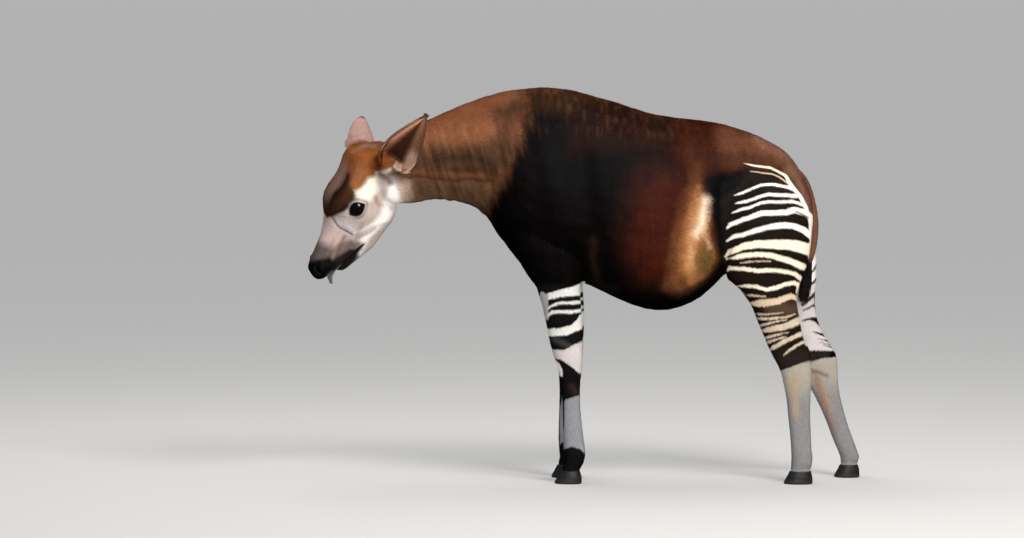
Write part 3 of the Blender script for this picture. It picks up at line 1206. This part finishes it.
def tufts(name, slot, roots, up, ahead, length, width, lift, colour, place, sway=0.2):
    """One mesh of flat pointed tufts: a kite each, its root sunk in the skin and its tip lifted."""
    count = len(roots)
    ahead = unit(ahead - (ahead * up).sum(1, keepdims=True) * up)
    ahead = unit(ahead + sway * np.cross(up, ahead) * rng.standard_normal((count, 1)))
    across = np.cross(up, ahead)
    length = (length * rng.uniform(0.75, 1.25, count))[:, None]
    width = (width * rng.uniform(0.8, 1.2, count))[:, None]
    lift = (lift * rng.uniform(0.6, 1.3, count))[:, None]
    middle = roots + 0.42 * length * ahead + 0.62 * lift * up
    points = np.stack([
        roots - 0.8 * up - 0.1 * length * ahead,
        middle + 0.5 * width * across,
        middle - 0.5 * width * across,
        roots + length * ahead + lift * up,
    ], 1).reshape(-1, 3)
    base = np.arange(count)[:, None] * 4
    faces = np.concatenate([base + [0, 2, 1], base + [1, 2, 3]], 1).reshape(-1, 3)
    mesh = bpy.data.meshes.new(name)
    mesh.vertices.add(len(points))
    mesh.vertices.foreach_set("co", ((points + SHIFT) / 1000).astype(np.float32).ravel())
    mesh.loops.add(faces.size)
    mesh.loops.foreach_set("vertex_index", faces.astype(np.int32).ravel())
    mesh.polygons.add(len(faces))
    mesh.polygons.foreach_set("loop_start", np.arange(len(faces), dtype=np.int32) * 3)
    mesh.update(calc_edges=True)
    # pale hair varies less than dark hair, from tuft to tuft and from root to tip
    dark = 1 - 0.68 * soft(0.2, 0.5, colour.mean(1))[:, None]
    shade = 1 + dark * rng.uniform(-0.2, 0.18, (count, 1))
    root_tip = 1 + dark * np.array([-0.28, -0.02, -0.02, 0.12])
    tone = (colour * shade)[:, None, :] * root_tip[:, :, None]
    attribute(mesh, "tone", tone.reshape(-1, 3))
    spots = np.array([(0, -0.0015), (0.0012, 0), (-0.0012, 0), (0, 0.0015)])
    uv = (np.clip(place, 0.003, 0.997)[:, None, :] + spots[None]).reshape(-1, 2)
    layer = mesh.uv_layers.new(name="OFBake")
    layer.data.foreach_set("uv", uv[faces.ravel()].astype(np.float32).ravel())
    # the shading follows the body's form more than each tuft's own face
    soft_up = unit(up + 0.18 * ahead)
    each = np.repeat(soft_up, 4, axis=0)
    mesh.shade_smooth()
    mesh.normals_split_custom_set_from_vertices(each.tolist())
    mesh.materials.append(LEG_COAT if slot == "coat_leg" else COAT)
    obj = linked(name, mesh)
    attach(obj, "root")


def around(points, centre_y, centre_z):
    """The share of the way round a line along X, for the places in the UV map."""
    return np.arctan2(points[:, 1] - centre_y, points[:, 2] - centre_z) / (2 * math.pi) + 0.5


def node(tree, kind, settings=None, **inputs):
    """A shader node with its inputs set or linked. Inputs go by name, or as i and their number."""
    made = tree.nodes.new(kind)
    for key, value in (settings or {}).items():
        setattr(made, key, value)
    for key, value in inputs.items():
        numbered = key[0] == "i" and key[1:].isdigit()
        socket = made.inputs[int(key[1:]) if numbered else key.replace("_", " ")]
        if isinstance(value, bpy.types.NodeSocket):
            tree.links.new(value, socket)
        else:
            socket.default_value = value
    return made


def material(name):
    made = bpy.data.materials.new(name)
    made.use_nodes = True
    tree = made.node_tree
    return made, tree, tree.nodes["Principled BSDF"]


def plug_in(tree, shader, **sockets):
    for key, socket in sockets.items():
        tree.links.new(socket, shader.inputs[key.replace("_", " ")])


def finish(shader, roughness, specular=None):
    shader.inputs["Roughness"].default_value = roughness
    if specular is not None:
        shader.inputs["Specular IOR Level"].default_value = specular


def stored(tree, name):
    """A value kept with each point of the mesh."""
    return node(tree, "ShaderNodeAttribute", dict(attribute_name=name))


def coat_material(name, change):
    made, tree, shader = material(name)
    tone = stored(tree, "tone")
    where = node(tree, "ShaderNodeTexCoord")
    grain = node(tree, "ShaderNodeTexNoise", Vector=where.outputs["Object"], Scale=90.0, Detail=3.0)
    light = node(tree, "ShaderNodeMapRange", Value=grain.outputs["Fac"], From_Min=0.25, From_Max=0.75,
                 To_Min=1 - change, To_Max=1 + change)
    colour = node(tree, "ShaderNodeMix", dict(data_type="RGBA", blend_type="MULTIPLY"), Factor=1.0,
                  i6=tone.outputs["Color"], i7=light.outputs["Result"])
    plug_in(tree, shader, Base_Color=colour.outputs[2])
    finish(shader, 0.6, 0.03)
    return made


def skin_material():
    made, tree, shader = material("coat_skin")
    at = node(tree, "ShaderNodeTexCoord").outputs["Object"]
    names = ("ground", "pale", "band", "lie", "bare")
    ground, pale, band, lie, bare = [stored(tree, name) for name in names]
    ragged = node(tree, "ShaderNodeTexNoise", Vector=at, Scale=240.0, Detail=3.0)
    edge = node(tree, "ShaderNodeMath", dict(operation="MULTIPLY_ADD"), i0=ragged.outputs["Fac"], i1=0.14,
                i2=-0.07)
    total = node(tree, "ShaderNodeMath", dict(operation="ADD"), i0=band.outputs["Fac"], i1=edge.outputs[0])
    white = node(tree, "ShaderNodeMapRange", dict(interpolation_type="SMOOTHSTEP"), Value=total.outputs[0],
                 From_Min=0.40, From_Max=0.60)
    colour = node(tree, "ShaderNodeMix", dict(data_type="RGBA"), Factor=white.outputs["Result"],
                  i6=ground.outputs["Color"], i7=pale.outputs["Color"])
    along = node(tree, "ShaderNodeMapping", Vector=at, Scale=(70.0, 320.0, 320.0))
    down = node(tree, "ShaderNodeMapping", Vector=at, Scale=(320.0, 320.0, 70.0))
    hair_x = node(tree, "ShaderNodeTexNoise", Vector=along.outputs[0], Scale=1.0, Detail=4.0, Roughness=0.6)
    hair_z = node(tree, "ShaderNodeTexNoise", Vector=down.outputs[0], Scale=1.0, Detail=4.0, Roughness=0.6)
    hair = node(tree, "ShaderNodeMix", Factor=lie.outputs["Fac"], i2=hair_x.outputs["Fac"],
                i3=hair_z.outputs["Fac"])
    patch = node(tree, "ShaderNodeTexNoise", Vector=at, Scale=28.0, Detail=3.0)
    fine = node(tree, "ShaderNodeMapRange", Value=hair.outputs[0], From_Min=0.3, From_Max=0.7, To_Min=0.8,
                To_Max=1.16)
    wide = node(tree, "ShaderNodeMapRange", Value=patch.outputs["Fac"], From_Min=0.3, From_Max=0.7,
                To_Min=0.93, To_Max=1.07)
    both = node(tree, "ShaderNodeMath", dict(operation="MULTIPLY"), i0=fine.outputs[0], i1=wide.outputs[0])
    final = node(tree, "ShaderNodeMix", dict(data_type="RGBA", blend_type="MULTIPLY"), Factor=1.0,
                 i6=colour.outputs[2], i7=both.outputs[0])
    plug_in(tree, shader, Base_Color=final.outputs[2])
    rough = node(tree, "ShaderNodeMapRange", Value=bare.outputs["Fac"], To_Min=0.6, To_Max=0.42)
    plug_in(tree, shader, Roughness=rough.outputs["Result"])
    pores = node(tree, "ShaderNodeTexVoronoi", Vector=at, Scale=420.0)
    relief = node(tree, "ShaderNodeMix", Factor=bare.outputs["Fac"], i2=hair.outputs[0],
                  i3=pores.outputs["Distance"])
    bump = node(tree, "ShaderNodeBump", Strength=0.55, Distance=0.0022, Height=relief.outputs[0])
    plug_in(tree, shader, Normal=bump.outputs["Normal"])
    shader.inputs["Specular IOR Level"].default_value = 0.06
    return made


COAT = coat_material("coat_tufts", 0.12)
LEG_COAT = coat_material("leg_tufts", 0.03)
skin.data.materials.clear()
skin.data.materials.append(skin_material())
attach(skin, "root")
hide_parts(*FLESH, "ear_left", "ear_right", "tail")

# ---- which tufts grow where: masks over the skin's triangles
M = CORNERS.mean(1)
m_head = on_head(M)
m_a, m_b, m_out = side_of_face(M)
free = np.ones(len(M))
for spec in EARS.values():
    s, share, off, look = ear_places(M, spec)
    free *= 1 - soft(20, 11, off) * soft(0.06, 0.2, s)
tail_d, tail_t = tail_place(M)
free *= 1 - soft(14, 6, tail_d - tail_radius(tail_t)) * (tail_t > 0.1)
free *= M[:, 2] > HOOF_TOP
opening = (lid_distance(m_a, m_b) > -7) & (m_out > EYE_OUT - 12) & (m_head > 0.3)
bald = m_head * np.maximum(soft(490, 510, to_head(M)[:, 0]), (lips(M) > 0.4))
free *= ~opening * (bald < 0.5)
is_head = m_head > 0.5
in_thigh = inside(*leg_place(M), THIGH) > -40
is_hind = (M[:, 0] > HIND_START) & (M[:, 2] < HIND_TOP) & ~is_head & (in_thigh | (M[:, 2] < 700))
is_fore = (M[:, 0] < FORE_END) & (M[:, 2] < FORE_TOP) & ~is_head & (M[:, 0] > FORE_START)
is_neck = (M[:, 0] < NECK_END) & ~is_head
is_trunk = ~(is_head | is_hind | is_fore | is_neck)
near_side = M[:, 1] < 0
MANY = 1.0
LEG_SWAY = 0.13  # the hair of the legs lies flatter and straighter


def grow(name, slot, mask, count, length, width, lift, place, sway=0.2):
    """Tufts on the masked triangles. length may be a function of the roots."""
    roots, up = scatter(mask * free, int(count * MANY))
    colour = full_colour(roots, up, noise(roots, 5, 51) * 0.3)
    value = length(roots) if callable(length) else length
    tufts(name, slot, roots, up, flow(roots), value, width, lift, colour, place(roots), sway)


def trunk_length(p):
    belly = soft(800, 730, p[:, 2])
    return 14 + 6 * belly + noise(p, 60, 61) * 1.5


def trunk_place(p):
    return np.stack([0.04 + 0.92 * soft(-150, 1150, p[:, 0]), around(p, 0, 1150)], 1)


def haunch_place(p):
    return np.stack([p[:, 2] / 1300, around(p[:, [2, 1, 0]], 0.0, 930.0)], 1)


def foreleg_place(p):
    middle = 110.0 * (1 if p[:, 1].mean() > 0 else -1)
    return np.stack([p[:, 2] / 830, around(p[:, [2, 1, 0]], middle, 110.0)], 1)


def neck_place(p):
    return np.stack([0.02 + (p[:, 0] + 720) / 640, around(p, -40.0, 1290.0)], 1)


def face_place(p):
    h = to_head(p)
    return np.stack([0.02 + h[:, 0] / 640, around(h, 0, -90)], 1)


def face_length(p):
    return 8.5 - 4.0 * soft(150, 420, to_head(p)[:, 0])


# after each mask: number, length, width and lift of the tufts
for side, part in (("left", near_side), ("right", ~near_side)):
    grow("coat_trunk_" + side, "coat_body", is_trunk & part, 77000, trunk_length, 2.8, 3.0, trunk_place)
    grow("coat_haunch_" + side, "coat_leg", is_hind & part, 79000, 7.0, 2.4, 1.7, haunch_place, LEG_SWAY)
    grow("coat_foreleg_" + side, "coat_leg", is_fore & part, 36000, 7.0, 2.2, 1.7, foreleg_place, LEG_SWAY)
grow("coat_neck", "coat_neck", is_neck, 80000, 14.0, 2.5, 2.8, neck_place)
grow("coat_face", "coat_face", is_head, 92000, face_length, 1.7, 1.5, face_place)


# ---- hair of the ears and the tail
def ear_tufts(side):
    spec = EARS[side]
    count = int(26000 * MANY)
    s = 0.16 + 0.82 * rng.random(count) ** 1.15
    angle = rng.uniform(-0.97, 0.97, count)
    inner = rng.random(count) < 0.45
    depth = np.where(inner, EAR_WALL - 0.9, 0.9)
    at = ear_point(spec, s, angle, depth)
    ds = ear_point(spec, np.minimum(s + 0.01, 1), angle, depth) - at
    da = ear_point(spec, s, angle + 0.01, depth) - at
    up = unit(np.cross(ds, da))
    out = up * np.sign((up * (ear_point(spec, s, angle, depth - 5) - at)).sum(1))[:, None]
    up = np.where(inner[:, None], -out, out)
    colour = ear_colour(angle, s, inner.astype(float), side == "right")
    rim = soft(0.8, 1.0, np.abs(angle))
    length = np.where(inner, 15.0, 9.0) + 5 * rim
    lift = np.where(inner, 4.0, 1.6)
    sideways = -np.sign(angle)[:, None] * unit(da) * np.where(inner, 0.35, 0.0)[:, None]
    place = np.stack([0.02 + 0.96 * s, 0.25 + 0.5 * inner + 0.22 * angle], 1)
    tufts("coat_ear_" + side, "coat_face", at, up, unit(ds) + sideways, length, 1.9, lift, colour, place)


for side in EARS:
    ear_tufts(side)


def tail_tufts():
    count = int(14000 * MANY)
    t = rng.uniform(0.05, 1.0, count)
    angle = rng.uniform(0, 2 * math.pi, count)
    ahead, across, other = tail_ring(t, 0.02)
    up = np.cos(angle)[:, None] * across + np.sin(angle)[:, None] * other
    at = tail_point(t) + up * (tail_radius(t) - 1)[:, None]
    colour = ground_colour(at, up)
    place = np.stack([0.02 + 0.96 * t, 0.05 + 0.9 * angle / (2 * math.pi)], 1)
    tufts("coat_tail", "coat_tail", at, up, ahead, 13, 2.6, 2.6, colour, place)


def tail_brush():
    """The long hair at the tail's end: narrow strands that hang from its last part."""
    count = int(2600 * (1))
    first, part = 0.93, 0.07  # where on the tail the strands root
    t = first + part * rng.random(count) ** 0.8
    angle = rng.uniform(0, 2 * math.pi, count)
    centre = tail_point(t)
    out = np.stack([np.cos(angle), np.sin(angle), np.zeros(count)], 1)
    root = centre + out * (tail_radius(t) * rng.uniform(0.3, 1.0, count))[:, None]
    length = (168 - 14 * (t - first) / part) * rng.uniform(0.7, 1.0, count)
    width = rng.uniform(2.2, 4.2, count)
    steps = np.linspace(0, 1, 6)
    spin = angle + rng.normal(0, 0.8, count)
    side = np.stack([-np.sin(spin), np.cos(spin), np.zeros(count)], 1)
    wave = rng.normal(0, 1, (count, 3)) * [4, 4, 0]
    rows = []
    for k in steps:
        away = 7 * math.sin(math.pi * min(0.72 * k, 0.5)) ** 1.4 - 7 * max(k - 0.6, 0)
        middle = root + out * away + np.array([-16.0, 0, 0]) * k + wave * k * k
        middle[:, 2] = root[:, 2] - length * k
        half = 0.5 * width * (1 - k ** 2) * (0.5 + min(k * 4, 0.5)) + 0.05
        rows.append(np.stack([middle - side * half[:, None], middle + side * half[:, None]], 1))
    points = np.stack(rows, 1).reshape(-1, 3)
    per = 2 * len(steps)
    base = np.arange(count)[:, None] * per
    faces = np.concatenate([base + [2 * k, 2 * k + 1, 2 * k + 3, 2 * k + 2] for k in range(len(steps) - 1)])
    mesh = bpy.data.meshes.new("tail_brush")
    mesh.from_pydata(((points + SHIFT) / 1000).tolist(), [], faces.tolist())
    shade = rng.uniform(0.7, 1.5, (count, 1, 1)) * np.linspace(0.8, 1.3, per)[None, :, None]
    attribute(mesh, "tone", (np.array([0.0075, 0.006, 0.0055]) * shade).reshape(-1, 3))
    layer = mesh.uv_layers.new(name="OFBake")
    spots = np.stack([np.tile([-0.0012, 0.0012], len(steps)), np.repeat(steps - 0.5, 2) * 0.003], 1)
    place = np.stack([0.02 + 0.96 * (t - first) / part, 0.05 + 0.9 * angle / (2 * math.pi)], 1)
    uv = (place[:, None] + spots[None]).reshape(-1, 2)
    loops = np.empty(len(mesh.loops), np.int32)
    mesh.loops.foreach_get("vertex_index", loops)
    layer.data.foreach_set("uv", uv[loops].astype(np.float32).ravel())
    mesh.shade_smooth()
    mesh.materials.append(COAT)
    obj = linked("tail_brush", mesh)
    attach(obj, "root")


tail_tufts()
tail_brush()


# ---- eyes
def eye_material():
    made, tree, shader = material("eye_wet")
    where = node(tree, "ShaderNodeTexCoord")
    streaks = node(tree, "ShaderNodeTexNoise", Vector=where.outputs["Object"], Scale=160.0, Detail=4.0)
    colour = node(tree, "ShaderNodeMix", dict(data_type="RGBA"), Factor=streaks.outputs["Fac"],
                  i6=(0.001, 0.001, 0.001, 1), i7=(0.007, 0.005, 0.004, 1))
    plug_in(tree, shader, Base_Color=colour.outputs[2])
    finish(shader, 0.05, 0.25)
    return made


EYE = eye_material()
for side, place in EYES.items():
    bm = bmesh.new()
    bmesh.ops.create_uvsphere(bm, u_segments=64, v_segments=40, radius=EYE_RADIUS / 1000,
                              matrix=Matrix.Translation(Vector((from_head(place) + SHIFT) / 1000)))
    eye = bm_object("eyeball_" + side, bm)
    eye.data.shade_smooth()
    eye.data.materials.append(EYE)
    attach(eye, "root")
    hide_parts("eye_" + side)


# ---- lashes, rooted along the upper lid's edge
def lashes():
    rows, faces = [], []
    for sign in (1, -1):
        for _ in range(34):
            k = rng.uniform(1, 10)
            i = int(k)
            u, v = UPPER_LID[i] + (UPPER_LID[i + 1] - UPPER_LID[i]) * (k - i)
            share = k / 11
            a = LID_CENTRE[0] + u * math.cos(EYE_TILT) - v * math.sin(EYE_TILT)
            b = LID_CENTRE[1] + u * math.sin(EYE_TILT) + v * math.cos(EYE_TILT)
            rho = math.hypot(a - EYE_A, b - EYE_B)
            out = EYE_OUT + math.sqrt(max((EYE_RADIUS + 3.6) ** 2 - rho ** 2, 200))
            root = np.array([a, b, out])
            tip = root + (np.array([(share - 0.5) * 12, 5, 8]) + rng.normal(0, 1.2, 3))
            mid = 0.5 * (root + tip) + np.array([0, -1.5, 1.5])
            wide = np.array([0.7, 0, 0])
            points = np.array([root - wide, root + wide, mid - 0.7 * wide, mid + 0.7 * wide, tip])
            world = np.stack([points[:, 0], points[:, 2] * COS_ROLL - points[:, 1] * SIN_ROLL,
                              points[:, 1] * COS_ROLL + points[:, 2] * SIN_ROLL], 1)
            base = len(rows)
            rows.extend(from_head(world * [1, sign, 1]))
            faces += [(base, base + 1, base + 3, base + 2), (base + 2, base + 3, base + 4)]
    obj = make_object("lashes", np.array(rows), faces)
    made, _, shader = material("lash")
    shader.inputs["Base Color"].default_value = (0.010, 0.008, 0.007, 1)
    finish(shader, 0.5)
    obj.data.materials.append(made)
    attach(obj, "root")


lashes()


# ---- hooves and tongue
def horn_material():
    made, tree, shader = material("horn")
    at = node(tree, "ShaderNodeTexCoord").outputs["Object"]
    rings = node(tree, "ShaderNodeMapping", Vector=at, Scale=(14.0, 14.0, 190.0))
    growth = node(tree, "ShaderNodeTexNoise", Vector=rings.outputs[0], Scale=1.0, Detail=4.0)
    fibres = node(tree, "ShaderNodeMapping", Vector=at, Scale=(260.0, 260.0, 16.0))
    grain = node(tree, "ShaderNodeTexNoise", Vector=fibres.outputs[0], Scale=1.0, Detail=4.0)
    both = node(tree, "ShaderNodeMix", Factor=0.45, i2=growth.outputs["Fac"], i3=grain.outputs["Fac"])
    ramp = node(tree, "ShaderNodeValToRGB", Fac=both.outputs[0])
    stops = [(0.32, (0.006, 0.006, 0.007, 1)), (0.70, (0.020, 0.019, 0.019, 1))]
    for element, (position, tone) in zip(ramp.color_ramp.elements, stops):
        element.position, element.color = position, tone
    worn = node(tree, "ShaderNodeSeparateXYZ", Vector=at)
    low = node(tree, "ShaderNodeMapRange", Value=worn.outputs["Z"], From_Min=0.0, From_Max=0.018, To_Min=1.0,
               To_Max=0.0)
    colour = node(tree, "ShaderNodeMix", dict(data_type="RGBA"), Factor=low.outputs[0], i6=ramp.outputs[0],
                  i7=(0.030, 0.027, 0.024, 1))
    plug_in(tree, shader, Base_Color=colour.outputs[2])
    bump = node(tree, "ShaderNodeBump", Strength=0.5, Distance=0.0015, Height=both.outputs[0])
    plug_in(tree, shader, Normal=bump.outputs["Normal"])
    finish(shader, 0.5, 0.2)
    return made


def rounded(obj, rounds, made, lowest=-np.inf):
    """Smooths a remeshed object, keeps it off the floor and gives it its material."""
    points = read(obj.data)
    points = relax(points, edges(obj.data), np.ones(len(points)), rounds)
    points[:, 2] = np.maximum(points[:, 2], lowest)
    write(obj.data, points)
    obj.data.shade_smooth()
    obj.data.materials.clear()
    obj.data.materials.append(made)


HOOVES = ["hoof_fore_left", "hoof_fore_right", "hoof_hind_left", "hoof_hind_right"]
hooves = remeshed("hooves", HOOVES, 2.6, grow=0.0)
rounded(hooves, 12, horn_material(), lowest=0.2)
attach(hooves, "root")
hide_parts(*HOOVES)

made, tree, shader = material("tongue_wet")
where = node(tree, "ShaderNodeTexCoord")
bumps = node(tree, "ShaderNodeTexVoronoi", Vector=where.outputs["Object"], Scale=700.0)
blue = node(tree, "ShaderNodeTexNoise", Vector=where.outputs["Object"], Scale=60.0)
colour = node(tree, "ShaderNodeMix", dict(data_type="RGBA"), Factor=blue.outputs["Fac"],
              i6=(0.13, 0.12, 0.16, 1), i7=(0.33, 0.31, 0.36, 1))
plug_in(tree, shader, Base_Color=colour.outputs[2])
bump = node(tree, "ShaderNodeBump", Strength=0.35, Distance=0.0008, Height=bumps.outputs["Distance"])
plug_in(tree, shader, Normal=bump.outputs["Normal"])
finish(shader, 0.25)
tongue = remeshed("tongue_wet", ["tongue"], 1.8, grow=0.2)
rounded(tongue, 14, made)
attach(tongue, "root")
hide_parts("tongue")

# ---- camera, floor and light
scene = bpy.context.scene
camera = linked("camera", bpy.data.cameras.new("camera"))
camera.location = Vector((CAMERA + SHIFT) / 1000)
camera.rotation_mode = "QUATERNION"
camera.rotation_quaternion = Vector((AIM - CAMERA) / 1000).to_track_quat("-Z", "Y")
camera.data.lens = LENS
camera.data.sensor_width = 36.0
camera.data.clip_end = 200.0
scene.camera = camera

scene.view_settings.view_transform = "Standard"

bm = bmesh.new()
bmesh.ops.create_grid(bm, x_segments=1, y_segments=1, size=60)
floor = bm_object("floor", bm)
made, tree, shader = material("floor_pale")
shader.inputs["Base Color"].default_value = (0.55, 0.55, 0.55, 1)
finish(shader, 1.0, 0.0)
floor.data.materials.append(made)
floor.visible_glossy = False

# the sky grows brighter upward just so much that the floor meets it without a line
SKY = 0.44
SKY_RISE = 2.227
world = bpy.data.worlds.new("studio")
scene.world = world
world.use_nodes = True
tree = world.node_tree
direction = node(tree, "ShaderNodeTexCoord")
height = node(tree, "ShaderNodeSeparateXYZ", Vector=direction.outputs["Generated"])
glow = node(tree, "ShaderNodeMapRange", Value=height.outputs["Z"], From_Min=0.0, From_Max=1.0, To_Min=SKY,
            To_Max=SKY_RISE * SKY)
background = tree.nodes["Background"]
background.inputs["Color"].default_value = (1.0, 1.0, 1.0, 1)
plug_in(tree, background, Strength=glow.outputs["Result"])


def lamp(name, place, aim, size, power, colour):
    data = bpy.data.lights.new(name, "AREA")
    data.shape = "RECTANGLE"
    data.size, data.size_y = size
    data.energy = power
    data.color = colour
    obj = linked(name, data)
    obj.location = place
    obj.rotation_mode = "QUATERNION"
    obj.rotation_quaternion = (Vector(aim) - Vector(place)).to_track_quat("-Z", "Y")
    return obj


lamp("key", (2.2, -4.2, 5.2), (0.1, 0, 1.0), (2.4, 2.0), 320, (1.0, 0.95, 0.88))
fill = lamp("fill", (2.2, -5.6, 1.1), (-0.1, 0, 1.0), (1.4, 1.4), 150, (1.0, 0.98, 0.95))
lamp("top", (-1.5, 1.6, 4.6), (0, 0, 1.2), (3.0, 2.0), 60, (1.0, 0.97, 0.93))
catch = lamp("catch", (0.51, -1.97, 2.1), (-0.9, -0.1, 1.08), (1.3, 1.3), 90, (0.93, 0.97, 1.0))
# it only shows as the glint in the eyes, and the eyes don't mirror the whole pale room
catch.visible_diffuse = False
catch.visible_camera = False
fill.visible_glossy = False
world.cycles_visibility.glossy = False
# the low lamp lights the animal alone, or the floor near it would glare
lit = bpy.data.collections.new("lit_by_fill")
for obj in scene.objects:
    if obj.type == "MESH" and obj is not floor:
        lit.objects.link(obj)
fill.light_linking.receiver_collection = lit

# the model has to stay under two million triangles
total = sum(len(p.vertices) - 2 for o in scene.objects if o.type == "MESH" for p in o.data.polygons)
print("triangles in the whole scene", total)
